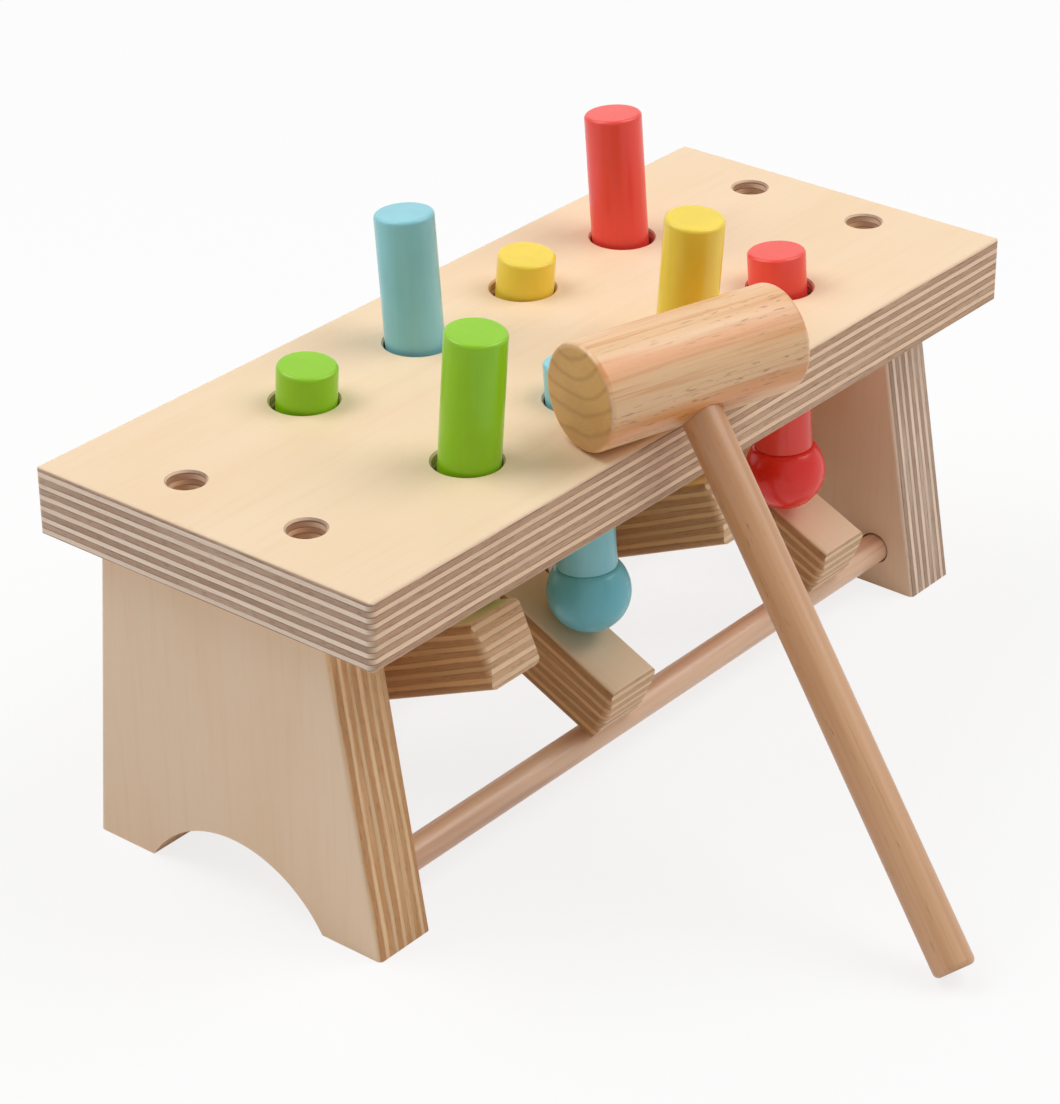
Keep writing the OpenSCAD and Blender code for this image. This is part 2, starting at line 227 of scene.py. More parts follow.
class ScrewSettings(bpy.types.PropertyGroup):
    """Sizes and metal of the screws that hold the legs."""
    depth: millimetres("Depth", "Depth of the counterbore over a screw", 6.5)
    head_diameter: millimetres("Head diameter", "Diameter of a screw head", 8.6)
    head_height: millimetres("Head height", "Height of a screw head", 3.0)
    shank_diameter: millimetres("Shank diameter", "Diameter of a screw's shank", 3.4)
    thread_diameter: millimetres("Thread diameter", "Diameter over the thread", 4.2)
    length: millimetres("Length", "Length of a screw under its head", 38.0)
    pitch: millimetres("Pitch", "Rise of the thread in one turn", 1.8)
    seed: IntProperty(name="Seed", description="Seed of the screws' turns", default=4)
    metal: tint("Metal", "Dull plated steel", 176, 166, 148)


class StageSettings(bpy.types.PropertyGroup):
    """Camera, light and floor."""
    eye: FloatVectorProperty(name="Eye", description="Place of the camera", size=3, subtype="XYZ", unit="LENGTH",
                             default=(-0.62221, -0.50644, 0.48329))
    azimuth: FloatProperty(name="Azimuth", description="Turn of the camera round the bench",
                           default=math.radians(-50.507), subtype="ANGLE", unit="ROTATION")
    elevation: FloatProperty(name="Elevation", description="Slope of the camera's view",
                             default=math.radians(28.773), subtype="ANGLE", unit="ROTATION")
    roll: FloatProperty(name="Roll", description="Turn of the camera about its view",
                        default=math.radians(-0.469), subtype="ANGLE", unit="ROTATION")
    focal_pixels: FloatProperty(name="Focal length", description="Focal length in pixels of the full picture",
                                default=3525.7, min=1.0)
    ambient: FloatProperty(name="Ambient", description="Strength of the light from all round", default=0.26, min=0.0)
    left_light: FloatProperty(name="Left light", description="Power of the light on the left", default=10.0, min=0.0,
                              unit="POWER")
    right_light: FloatProperty(name="Right light", description="Power of the light on the right", default=9.4,
                               min=0.0, unit="POWER")
    floor: tint("Floor", "Pale floor under the bench", 252, 252, 252)


class BenchSettings(bpy.types.PropertyGroup):
    """All that a user would change."""
    plywood: PointerProperty(type=PlywoodSettings)
    turned: PointerProperty(type=TurnedSettings)
    mallet: PointerProperty(type=MalletSettings)
    paint: PointerProperty(type=PaintSettings)
    screws: PointerProperty(type=ScrewSettings)
    stage: PointerProperty(type=StageSettings)


class NodeTree:
    """Adds and links the nodes of one tree."""

    def __init__(self, tree):
        self.nodes = tree.nodes
        self.links = tree.links

    def add(self, kind, inputs, **settings):
        node = self.nodes.new(kind)
        for key, value in settings.items():
            setattr(node, key, value)
        for key, value in inputs.items():
            self.feed(node.inputs[key], value)
        return node

    def feed(self, socket, value):
        if isinstance(value, bpy.types.NodeSocket):
            self.links.new(value, socket)
        else:
            socket.default_value = value

    def math(self, operation, a, b=0.0, c=0.0):
        return self.add("ShaderNodeMath", {0: a, 1: b, 2: c}, operation=operation).outputs[0]

    def between(self, value, low, high, to_low=0.0, to_high=1.0):
        node = self.add("ShaderNodeMapRange", {"Value": value, "From Min": low, "From Max": high,
                                               "To Min": to_low, "To Max": to_high},
                        interpolation_type="SMOOTHSTEP")
        return node.outputs["Result"]

    def seen(self):
        """1 for what the camera sees, straight or in a mirror or glass."""
        path = self.add("ShaderNodeLightPath", {}).outputs
        shiny = self.math("MAXIMUM", path["Is Glossy Ray"], path["Is Transmission Ray"])
        return self.math("MAXIMUM", path["Is Camera Ray"], shiny)


class GeometryTree(NodeTree):
    """Adds and links the nodes of a geometry tree with the given kinds of inputs."""

    def __init__(self, name, **inputs):
        self.tree = bpy.data.node_groups.new(name, "GeometryNodeTree")
        super().__init__(self.tree)
        for key, kind in inputs.items():
            self.tree.interface.new_socket(key, in_out="INPUT", socket_type="NodeSocket" + kind)
        self.tree.interface.new_socket("Made", in_out="OUTPUT", socket_type="NodeSocketGeometry")
        self.given = self.nodes.new("NodeGroupInput").outputs

    def finish(self, geometry):
        """Ends the tree with plain geometry in the given finish."""
        real = self.add("GeometryNodeRealizeInstances", {"Geometry": geometry}).outputs[0]
        coated = self.add("GeometryNodeSetMaterial", {"Geometry": real, "Material": self.given["Finish"]})
        self.add("NodeGroupOutput", {"Made": coated.outputs[0]})
        return self.tree


class ShaderTree(NodeTree):
    """Adds and links the nodes of one material."""

    def __init__(self, name):
        self.material = bpy.data.materials.new(name)
        self.material.use_nodes = True
        super().__init__(self.material.node_tree)
        self.shader = self.nodes["Principled BSDF"]

    def vector_math(self, operation, a, b):
        return self.add("ShaderNodeVectorMath", {0: a, 1: b}, operation=operation).outputs[0]

    def length(self, vector):
        return self.add("ShaderNodeVectorMath", {0: vector}, operation="LENGTH").outputs["Value"]

    def split(self, vector):
        return self.add("ShaderNodeSeparateXYZ", {0: vector}).outputs

    def grey(self, value):
        return self.add("ShaderNodeCombineColor", {0: value, 1: value, 2: value}).outputs[0]

    def blend(self, factor, a, b):
        return self.add("ShaderNodeMix", {0: factor, 2: a, 3: b}, data_type="FLOAT").outputs[0]

    def mix(self, factor, a, b, blend="MIX"):
        node = self.add("ShaderNodeMix", {0: factor}, data_type="RGBA", blend_type=blend)
        self.feed(node.inputs[6], colour4(a))
        self.feed(node.inputs[7], colour4(b))
        return node.outputs[2]

    def noise(self, position, waves, detail=2.0, roughness=0.5):
        """Noise with so many waves in a metre along each axis."""
        vector = self.vector_math("MULTIPLY", position, waves)
        node = self.add("ShaderNodeTexNoise", {"Vector": vector, "Scale": 1.0, "Detail": detail,
                                               "Roughness": roughness})
        return node.outputs[0]

    def scattered(self, position, cells, inner, outer, rarity):
        """Soft spots in some of so many cells in a metre, the fewer the higher the rarity."""
        vector = self.vector_math("MULTIPLY", position, cells)
        grid = self.add("ShaderNodeTexVoronoi", {"Vector": vector, "Scale": 1.0}, feature="F1")
        spot = self.between(grid.outputs["Distance"], inner, outer, 1.0, 0.0)
        chance = self.add("ShaderNodeSeparateColor", {0: grid.outputs["Color"]}).outputs[0]
        return self.math("MULTIPLY", spot, self.math("GREATER_THAN", chance, rarity))

    def position(self, place=(0, 0, 0), turn=(0, 0, 0)):
        """Position along the axes of a piece that stands at a place, turned."""
        return self.seen_from("Object", {"Location": place, "Rotation": turn})

    def normal(self, turn):
        """Normal along the axes of a turned piece."""
        return self.seen_from("Normal", {"Rotation": turn})

    def seen_from(self, coordinate, axes):
        source = self.add("ShaderNodeTexCoord", {}).outputs[coordinate]
        return self.add("ShaderNodeMapping", {"Vector": source, **axes}, vector_type="TEXTURE").outputs[0]

    def finish(self, colour, roughness, height, distance, shine=0.5):
        """Feeds the shader, with a height in units of the distance as its relief."""
        self.shader.inputs["Specular IOR Level"].default_value = shine
        self.feed(self.shader.inputs["Base Color"], colour)
        self.feed(self.shader.inputs["Roughness"], roughness)
        bump = self.add("ShaderNodeBump", {"Height": height, "Distance": distance, "Strength": 1.0})
        self.feed(self.shader.inputs["Normal"], bump.outputs[0])
        return self.material


def colour4(value):
    """A colour socket's value with its alpha, or the link that is to feed it."""
    return value if isinstance(value, bpy.types.NodeSocket) else (*value[:3], 1.0)


def shaded(colour, shares):
    """A colour with each of its channels scaled."""
    return [level * share for level, share in zip(colour, shares)]


def plywood(name, place, turn, thickness, plies, face, sides, ends, waver, softness, fading, figure):
    """Plywood with X along its face grain and Z through the board from the given place.

    Sides and ends each have a light and a dark colour of veneers. A veneer that is dark on the sides, where it
    is cut across its grain, is light on the ends, so the stripes on neighbouring edges of a board take turns.
    """
    tree = ShaderTree(name)
    position = tree.position(place, turn)
    normal_x, normal_y, normal_z = tree.split(tree.normal(turn))
    side_on = tree.math("MULTIPLY", normal_y, normal_y)
    around = tree.math("MULTIPLY_ADD", normal_x, normal_x, tree.math("ADD", side_on, NEARLY_ZERO))
    side_on = tree.math("DIVIDE", side_on, around)
    edge, cuts = ply_edges(tree, position, side_on, (plies - 1) / thickness, sides, ends, waver, softness, fading)
    veneer, fine, hair = ply_face(tree, position, face, figure)

    flat = tree.between(tree.math("ABSOLUTE", normal_z), 0.70, 0.93)
    colour = tree.mix(flat, edge, veneer)
    roughness = tree.math("MULTIPLY_ADD", flat, -0.12, tree.math("MULTIPLY_ADD", fine, 0.12, 0.56))
    grain = tree.math("MULTIPLY_ADD", hair, 0.22, tree.math("MULTIPLY", fine, 0.22))
    return tree.finish(colour, roughness, tree.blend(flat, cuts, grain), PLY_RELIEF, shine=0.3)


def ply_edges(tree, position, side_on, density, sides, ends, waver, softness, fading):
    """Colour and relief of cut plies, with a density in plies a metre."""
    sway = tree.noise(position, SWAY_WAVES, 3.0)
    layer = tree.math("MULTIPLY_ADD", tree.split(position)[2], density, 0.5)
    layer = tree.math("MULTIPLY_ADD", tree.math("SUBTRACT", sway, 0.5), waver, layer)
    wave = tree.math("FRACT", tree.math("MULTIPLY_ADD", layer, 0.5, 0.25))
    wave = tree.math("ABSOLUTE", tree.math("MULTIPLY_ADD", wave, 2.0, -1.0))
    on_sides = tree.between(wave, LIGHT_SHARE - softness, LIGHT_SHARE + softness)
    on_ends = tree.between(wave, 1 - LIGHT_SHARE - softness, 1 - LIGHT_SHARE + softness, 1.0, 0.0)
    dark_ply = tree.blend(side_on, on_ends, on_sides)
    faded = tree.between(tree.noise(position, FADING_WAVES), 0.44, 0.68, 0.0, fading)
    dark_ply = tree.blend(faded, dark_ply, 0.5)

    own_shade = tree.add("ShaderNodeTexWhiteNoise", {"W": tree.math("FLOOR", layer)}, noise_dimensions="1D")
    streak = tree.noise(position, STREAK_WAVES, 3.0, 0.6)
    speck = tree.noise(position, SPECK_WAVES, 2.0, 0.7)
    tone = tree.math("MULTIPLY_ADD", own_shade.outputs["Value"], 0.14, 0.80)
    tone = tree.math("MULTIPLY_ADD", streak, 0.20, tone)
    tone = tree.math("MULTIPLY_ADD", speck, 0.08, tone)
    light = tree.mix(side_on, ends[0], sides[0])
    dark = tree.mix(side_on, ends[1], sides[1])
    deep = tree.mix(1.0, dark, DEEP_SHADE, "MULTIPLY")
    colour = tree.mix(dark_ply, light, dark)
    colour = tree.mix(1.0, colour, tree.grey(tone), "MULTIPLY")

    dash = tree.between(tree.noise(position, DASH_WAVES, 1.0), 0.55, 0.70)
    dash = tree.math("MULTIPLY", dash, tree.math("MULTIPLY_ADD", dark_ply, 0.36, 0.08))
    colour = tree.mix(dash, colour, deep)
    seam = tree.between(tree.math("ABSOLUTE", tree.math("SUBTRACT", wave, 0.5)), 0.02, 0.13, 1.0, 0.0)
    broken = tree.between(tree.noise(position, BREAK_WAVES), 0.36, 0.58)
    seam = tree.math("MULTIPLY", tree.math("MULTIPLY", seam, broken), max(0.0, 0.84 - 1.9 * softness))
    colour = tree.mix(seam, colour, deep)
    knot = tree.scattered(position, KNOT_CELLS, 0.10, 0.20, 0.93)
    colour = tree.mix(tree.math("MULTIPLY", knot, 0.75), colour, deep)
    relief = tree.math("MULTIPLY_ADD", streak, 0.4, tree.math("MULTIPLY", seam, -0.8))
    return colour, tree.math("MULTIPLY_ADD", speck, 0.25, relief)


def ply_face(tree, position, face, figure):
    """Colour of an outer veneer, its fine grain and its hairs."""
    broad = tree.noise(position, BROAD_WAVES, 3.0, 0.55)
    fine = tree.noise(position, FINE_WAVES, 4.0, 0.6)
    hair = tree.noise(position, HAIR_WAVES, 2.0, 0.7)
    colour = tree.mix(tree.between(broad, 0.35, 0.72, 0.0, figure), face, shaded(face, BROAD_SHADE))
    colour = tree.mix(tree.between(fine, 0.45, 0.75, 0.0, 0.5 * figure), colour, shaded(face, FINE_SHADE))
    colour = tree.mix(tree.between(hair, 0.60, 0.80, 0.0, 0.3 * figure), colour, shaded(face, HAIR_SHADE))
    pore = tree.scattered(position, PORE_CELLS, 0.015, 0.045, 0.88)
    colour = tree.mix(tree.math("MULTIPLY", pore, 0.55), colour, shaded(face, PORE_SHADE))
    return colour, fine, hair


def long_wood(name, place, turn, ground, streak, fleck, end_grain, fleck_share, figure):
    """Solid wood with its grain along Z from the given place: streaks, short flecks, and rings on its ends."""
    tree = ShaderTree(name)
    position = tree.position(place, turn)
    normal_z = tree.split(tree.normal(turn))[2]
    broad = tree.noise(position, WOOD_BROAD_WAVES)
    fine = tree.noise(position, WOOD_FINE_WAVES, 3.0, 0.6)
    dash = tree.noise(position, WOOD_DASH_WAVES, 2.0, 0.55)
    band = tree.noise(position, WOOD_BAND_WAVES, 1.0)
    colour = tree.mix(tree.between(broad, 0.43, 0.60), ground, streak)
    colour = tree.mix(tree.between(fine, 0.46, 0.70, 0.0, figure), colour, shaded(streak, WOOD_FINE_SHADE))
    flecked = tree.math("MULTIPLY", tree.between(dash, 0.68 - fleck_share, 0.78 - fleck_share, 0.0, 0.7),
                        tree.between(band, 0.44, 0.60, 0.1, 1.0))
    colour = tree.mix(flecked, colour, fleck)

    from_heart = tree.vector_math("MULTIPLY", tree.vector_math("SUBTRACT", position, HEART), (1, 1, 0))
    ring = tree.math("MULTIPLY_ADD", tree.length(from_heart), RINGS, tree.noise(position, RING_WAVES))
    ring = tree.math("ABSOLUTE", tree.math("MULTIPLY_ADD", tree.math("FRACT", ring), 2.0, -1.0))
    pores = tree.noise(position, END_PORE_WAVES, 1.0)
    butt = tree.mix(tree.between(broad, 0.35, 0.70, 0.0, 0.6), end_grain, shaded(end_grain, END_BROAD_SHADE))
    butt = tree.mix(tree.between(ring, 0.55, 0.98, 0.0, 0.55), butt, shaded(end_grain, RING_SHADE))
    butt = tree.mix(tree.between(pores, 0.56, 0.74, 0.0, 0.3), butt, shaded(end_grain, END_PORE_SHADE))
    colour = tree.mix(tree.between(tree.math("ABSOLUTE", normal_z), 0.55, 0.90), colour, butt)
    roughness = tree.math("MULTIPLY_ADD", fine, 0.14, 0.30)
    height = tree.math("MULTIPLY_ADD", flecked, -0.6, tree.math("MULTIPLY", fine, 0.4))
    return tree.finish(colour, roughness, height, WOOD_RELIEF, shine=0.8)


def satin_paint(name, ground):
    """Paint that lets a little of the wood's grain show, and is paler in patches."""
    tree = ShaderTree(name)
    position = tree.position()
    grain = tree.noise(position, PAINT_GRAIN_WAVES, 3.0, 0.6)
    cloud = tree.noise(position, PAINT_CLOUD_WAVES)
    pale, plain, dull = ([share * level for level in ground] for share in (1.03, 0.97, 0.92))
    colour = tree.mix(tree.between(cloud, 0.35, 0.70), pale, plain)
    colour = tree.mix(tree.between(grain, 0.50, 0.74, 0.0, 0.4), colour, dull)
    roughness = tree.math("MULTIPLY_ADD", cloud, 0.10, 0.20)
    height = tree.math("MULTIPLY_ADD", cloud, 0.6, tree.math("MULTIPLY", grain, 0.2))
    return tree.finish(colour, roughness, height, PAINT_RELIEF, shine=0.42)


def dull_metal(name, ground):
    """Plated steel, smudged and lightly scratched."""
    tree = ShaderTree(name)
    position = tree.position()
    smudge = tree.noise(position, SMUDGE_WAVES, 3.0)
    scratch = tree.noise(position, SCRATCH_WAVES)
    colour = tree.mix(tree.between(smudge, 0.35, 0.70), ground, [0.72 * level for level in ground])
    tree.shader.inputs["Metallic"].default_value = 1.0
    roughness = tree.math("MULTIPLY_ADD", smudge, 0.25, 0.32)
    return tree.finish(colour, roughness, tree.math("ADD", smudge, scratch), METAL_RELIEF)


def rounded(corners, steps=6):
    """Points along a line whose corners, each a radius, a height and a rounding, are arcs."""
    points = []
    last = len(corners) - 1
    for place, (radius, height, rounding) in enumerate(corners):
        here = Vector((radius, height))
        if rounding == 0.0 or place in (0, last):
            points.append(here)
            continue
        before = (Vector(corners[place - 1][:2]) - here).normalized()
        after = (Vector(corners[place + 1][:2]) - here).normalized()
        opening = before.angle(after)
        reach = rounding / math.tan(opening / 2)
        middle = here + (before + after).normalized() * (rounding / math.sin(opening / 2))
        start = here + before * reach - middle
        sweep = start.angle_signed(here + after * reach - middle)
        for step in range(steps + 1):
            turn = Matrix.Rotation(-sweep * step / steps, 2)
            points.append(middle + turn @ start)
    return points


def revolve_tree():
    """Tree that turns a profile, drawn with X as radius less one and Y as depth, round Z."""
    tree = GeometryTree("Turned piece", Profile="Geometry", Segments="Int", Finish="Material")
    line = tree.add("GeometryNodeMeshToCurve", {"Mesh": tree.given["Profile"]})
    ring = tree.add("GeometryNodeCurvePrimitiveCircle", {"Resolution": tree.given["Segments"], "Radius": 1.0},
                    mode="RADIUS")
    sweep = tree.add("GeometryNodeCurveToMesh", {"Curve": ring.outputs["Curve"],
                                                 "Profile Curve": line.outputs["Curve"]})
    merge = tree.add("GeometryNodeMergeByDistance", {"Geometry": sweep.outputs["Mesh"], "Distance": WELD})
    smooth = tree.add("GeometryNodeSetShadeSmooth", {"Geometry": merge.outputs["Geometry"]})
    return tree.finish(smooth.outputs["Geometry"])


def shared_tree(name, build):
    return bpy.data.node_groups.get(name) or build()


def set_input(modifier, name, value):
    """Sets a tree's input by its socket's identifier."""
    for item in modifier.node_group.interface.items_tree:
        if item.in_out == "INPUT" and item.name == name:
            modifier[item.identifier] = value
            return
    raise KeyError(name)


def profile_object(name, points, closed=False):
    """Line of edges for the revolving tree, from the top of the piece down its outside."""
    places = [(point.x - 1.0, -point.y, 0.0) for point in points]
    edges = [(i, i + 1) for i in range(len(points) - 1)]
    if closed:
        edges.append((len(points) - 1, 0))
    mesh = bpy.data.meshes.new(name)
    mesh.from_pydata(places, edges, [])
    piece = bpy.data.objects.new(name, mesh)
    bpy.context.scene.collection.objects.link(piece)
    return piece


def settle(piece, place, material):
    """Turns what the modifiers make into a plain mesh, put in its place, with even shading."""
    bpy.context.view_layer.update()
    made = bpy.data.meshes.new_from_object(piece.evaluated_get(bpy.context.evaluated_depsgraph_get()))
    piece.modifiers.clear()
    piece.data = made
    made.name = piece.name
    made.transform(place)
    made.materials.clear()
    made.materials.append(material)
    made.shade_smooth()
    made.set_sharp_from_angle(angle=SHARP_ANGLE)
    return piece


def turned(name, points, place, material, segments, closed=False):
    """Piece turned round its own Z, then put in its place."""
    piece = profile_object(name, points, closed)
    modifier = piece.modifiers.new("Turned piece", "NODES")
    modifier.node_group = shared_tree("Turned piece", revolve_tree)
    set_input(modifier, "Segments", segments)
    set_input(modifier, "Finish", material)
    settle(piece, place, material)
    weigh_normals(piece)
    return piece


def weigh_normals(piece):
    """Keeps flat faces flat beside their rounded edges."""
    modifier = piece.modifiers.new("Weighted normals", "WEIGHTED_NORMAL")
    modifier.keep_sharp = True
    bpy.context.view_layer.update()
    piece.data = bpy.data.meshes.new_from_object(piece.evaluated_get(bpy.context.evaluated_depsgraph_get()))
    piece.modifiers.clear()


def stand_for(piece, node, body):
    """Shows the piece instead of a node of the frame, on the same body."""
    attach(piece, body)
    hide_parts(node)


def coat(node, material):
    """Gives a node of the frame its finish."""
    mesh = frame["nodes"][node].data
    mesh.materials.clear()
    mesh.materials.append(material)


def middle_of(node):
    low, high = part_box(node)
    return (low + high) / 2


class BENCH_OT_boards(bpy.types.Operator):
    """Give the top and the legs their plywood"""
    bl_idname = "pounding_bench.boards"
    bl_label = "Boards"

    def execute(self, context):
        wood = context.scene.pounding_bench.plywood
        low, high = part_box("bench_top")
        plain = (wood.edge_light, wood.edge_dark)
        warm = (wood.warm_light, wood.warm_dark)
        coat("bench_top", plywood("plywood_top", (0, 0, low.z), (0, 0, 0), high.z - low.z, wood.plies, wood.face,
                                  (wood.long_light, wood.long_dark), plain,
                                  waver=0.35, softness=0.09, fading=0.35, figure=0.45))
        for side, edges, waver, softness in (("left", warm, 2.2, 0.28), ("right", plain, 0.6, 0.14)):
            low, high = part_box(side + "_leg")
            coat(side + "_leg", plywood("plywood_" + side + "_leg", (low.x, 0, 0), (0, RIGHT_ANGLE, 0),
                                        high.x - low.x, wood.plies, wood.leg_face, edges, edges,
                                        waver=waver, softness=softness, fading=0.8, figure=0.6))
        return {"FINISHED"}


class BENCH_OT_levers(bpy.types.Operator):
    """Give the rocking levers their plywood, along their slope"""
    bl_idname = "pounding_bench.levers"
    bl_label = "Levers"

    def execute(self, context):
        wood = context.scene.pounding_bench.plywood
        thickness = wood.lever_thickness
        for colour in COLOURS:
            rock = joint_named(colour + "_rock")
            slope = math.radians(-sum(rock["range_deg"]) / 2)
            turn = Matrix.Rotation(slope, 4, "X") @ Matrix.Rotation(RIGHT_ANGLE, 4, "Z")
            place = Vector(rock["pos_m"]) - turn.to_3x3() @ Vector((0, 0, thickness / 2))
            coat(colour + "_lever", plywood("plywood_" + colour + "_lever", place, turn.to_euler(), thickness,
                                            wood.plies, wood.lever_face, (wood.lever_light, wood.lever_dark),
                                            (wood.butt_light, wood.butt_dark),
                                            waver=1.2, softness=0.22, fading=0.7, figure=0.5))
        return {"FINISHED"}


class BENCH_OT_rods(bpy.types.Operator):
    """Turn the rails, the axle and its spacers"""
    bl_idname = "pounding_bench.rods"
    bl_label = "Rods and spacers"

    def execute(self, context):
        sizes = context.scene.pounding_bench.turned
        for node in ("front_rail", "back_rail", "lever_axle"):
            self.rod(node, sizes)
        for spacer in SPACERS:
            self.rod(spacer + "_spacer", sizes, sizes.axle_diameter / 2 + sizes.glue_gap)
        return {"FINISHED"}

    def rod(self, node, sizes, bore=0.0):
        low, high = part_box(node)
        length = high.x - low.x
        radius = (high.y - low.y) / 2
        rim = sizes.rod_rim
        outside = [(radius, length, rim), (radius, 0, rim)]
        corners = [(bore, length, 0), *outside, (bore, 0, 0)]
        start = Vector((low.x, (low.y + high.y) / 2, (low.z + high.z) / 2))
        place = Matrix.Translation(start) @ Matrix.Rotation(RIGHT_ANGLE, 4, "Y")
        wood = long_wood("beech_" + node, start, place.to_euler(), sizes.beech, sizes.beech_streak,
                         sizes.beech_fleck, sizes.beech_streak, fleck_share=0.0, figure=0.35)
        piece = turned("turned_" + node, rounded(corners), place, wood, sizes.segments, bool(bore))
        stand_for(piece, node, "bench")


class BENCH_OT_pegs(bpy.types.Operator):
    """Turn and paint the pegs and their balls"""
    bl_idname = "pounding_bench.pegs"
    bl_label = "Pegs and balls"

    def execute(self, context):
        settings = context.scene.pounding_bench
        sizes = settings.turned
        for colour in COLOURS:
            ground = getattr(settings.paint, colour)
            paint = satin_paint(colour + "_satin", list(ground))
            # Painted shade: each ball gets a darker, deeper copy of its peg's paint, for the shade under the levers.
            shaded_paint = satin_paint(colour + "_full_satin", [level ** sizes.ball_depth for level in ground])
            for row in ROWS:
                pair = colour + "_" + row
                low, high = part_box(pair + "_ball")
                centre = Vector(((low.x + high.x) / 2, (low.y + high.y) / 2, low.z + sizes.ball_diameter / 2))
                lean = Vector(joint_named(pair + "_slide")["axis"]).to_track_quat("Z", "Y").to_matrix().to_4x4()
                place = Matrix.Translation(centre) @ lean
                peg = turned("painted_" + pair + "_peg", self.peg_line(sizes), place, paint, sizes.segments)
                stand_for(peg, pair + "_peg", pair + "_peg")
                ball = turned("painted_" + pair + "_ball", self.ball_line(sizes), place, shaded_paint, sizes.segments)
                stand_for(ball, pair + "_ball", pair + "_peg")
        return {"FINISHED"}

    def peg_line(self, sizes):
        foot_rim, tenon_rim = 0.35 * MM, 0.4 * MM
        foot = sizes.ball_flat
        top = foot + sizes.peg_length
        radius = sizes.peg_diameter / 2
        tenon = sizes.tenon_diameter / 2
        end = foot - sizes.tenon_length
        return rounded([(0, top, 0), (radius, top, sizes.peg_rim), (radius, foot, foot_rim), (tenon, foot, 0),
                        (tenon, end, tenon_rim), (0, end, 0)])

    def ball_line(self, sizes):
        radius = sizes.ball_diameter / 2
        flat = sizes.ball_flat
        bore = sizes.tenon_diameter / 2 + sizes.glue_gap
        floor = flat - sizes.tenon_length
        shoulder = math.sqrt(radius ** 2 - flat ** 2)
        start = math.asin(flat / radius)
        rim_in, rim_out, rim_drop = 0.5 * MM, 0.15 * MM, 0.08 * MM
        line = [Vector((0, floor)), Vector((bore, floor)), Vector((bore, flat)), Vector((shoulder - rim_in, flat)),
                Vector((shoulder - rim_out, flat - rim_drop))]
        for step in range(1, BALL_STEPS + 1):
            angle = start - (start + RIGHT_ANGLE) * step / BALL_STEPS
            line.append(Vector((radius * math.cos(angle), radius * math.sin(angle))))
        line[-1].x = 0.0
        return line


class BENCH_OT_mallet(bpy.types.Operator):
    """Turn the mallet's head and handle, and bore the head for the handle"""
    bl_idname = "pounding_bench.mallet"
    bl_label = "Mallet"

    def execute(self, context):
        settings = context.scene.pounding_bench
        sizes = settings.mallet
        glue = settings.turned.glue_gap
        centre = middle_of("mallet_head")
        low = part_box("mallet_handle")[0]
        out = Vector((-math.sin(sizes.head_turn), -math.cos(sizes.head_turn), 0))
        across = Vector((math.cos(sizes.head_turn), -math.sin(sizes.head_turn), 0))
        drop = centre.z - low.z - sizes.handle_rim
        reach = sizes.handle_length - sizes.handle_rim
        side = sizes.handle_diameter / 2 - sizes.handle_rim
        lean = math.atan2(side, reach) + math.acos(drop / math.hypot(reach, side))
        down = out * math.sin(lean) - Vector((0, 0, math.cos(lean)))
        handle_place = Matrix.Translation(centre) @ frame_of(-down, across)
        head_place = Matrix.Translation(centre) @ frame_of(across, -down)

        radius, half = sizes.head_diameter / 2, sizes.head_length / 2
        rim = sizes.head_rim
        line = rounded([(0, half, 0), (radius, half, rim), (radius, -half, rim), (0, -half, 0)], ARC_STEPS)
        wood = long_wood("mallet_wood", centre, head_place.to_euler(), sizes.wood, sizes.warm_band, sizes.fleck,
                         sizes.end_grain, fleck_share=0.07, figure=0.6)
        head = turned("turned_mallet_head", line, head_place, wood, settings.turned.segments)
        bore(head, handle_place, sizes.handle_diameter / 2 + glue, -sizes.head_diameter, sizes.handle_sink)
        stand_for(head, "mallet_head", "mallet")

        radius = sizes.handle_diameter / 2
        line = rounded([(0, sizes.handle_sink, 0), (radius, sizes.handle_sink, sizes.handle_rim),
                        (radius, -sizes.handle_length, sizes.handle_rim), (0, -sizes.handle_length, 0)], ARC_STEPS)
        beech = long_wood("handle_wood", centre, handle_place.to_euler(), sizes.handle_wood, sizes.handle_streak,
                          sizes.handle_fleck, sizes.handle_streak, fleck_share=0.05, figure=0.35)
        handle = turned("turned_mallet_handle", line, handle_place, beech, settings.turned.segments)
        stand_for(handle, "mallet_handle", "mallet")
        return {"FINISHED"}


def frame_of(up, side):
    """Turn whose Z is up and whose X is the side."""
    z = up.normalized()
    x = (side - z * side.dot(z)).normalized()
    y = z.cross(x)
    return Matrix((x, y, z)).transposed().to_4x4()


def bore(piece, place, radius, low, high):
    """Cuts a round hole into a piece, along Z of the given place."""
    shape = bmesh.new()
    bmesh.ops.create_cone(shape, cap_ends=True, segments=64, radius1=radius, radius2=radius, depth=high - low,
                          matrix=place @ Matrix.Translation((0, 0, (low + high) / 2)))
    mesh = bpy.data.meshes.new("bore")
    shape.to_mesh(mesh)
    shape.free()
    cutter = bpy.data.objects.new("bore", mesh)
    bpy.context.scene.collection.objects.link(cutter)
    modifier = piece.modifiers.new("Bore", "BOOLEAN")
    modifier.operation = "DIFFERENCE"
    modifier.solver = "EXACT"
    modifier.object = cutter
    settle(piece, Matrix.Identity(4), piece.data.materials[0])
    bpy.data.objects.remove(cutter)
    weigh_normals(piece)


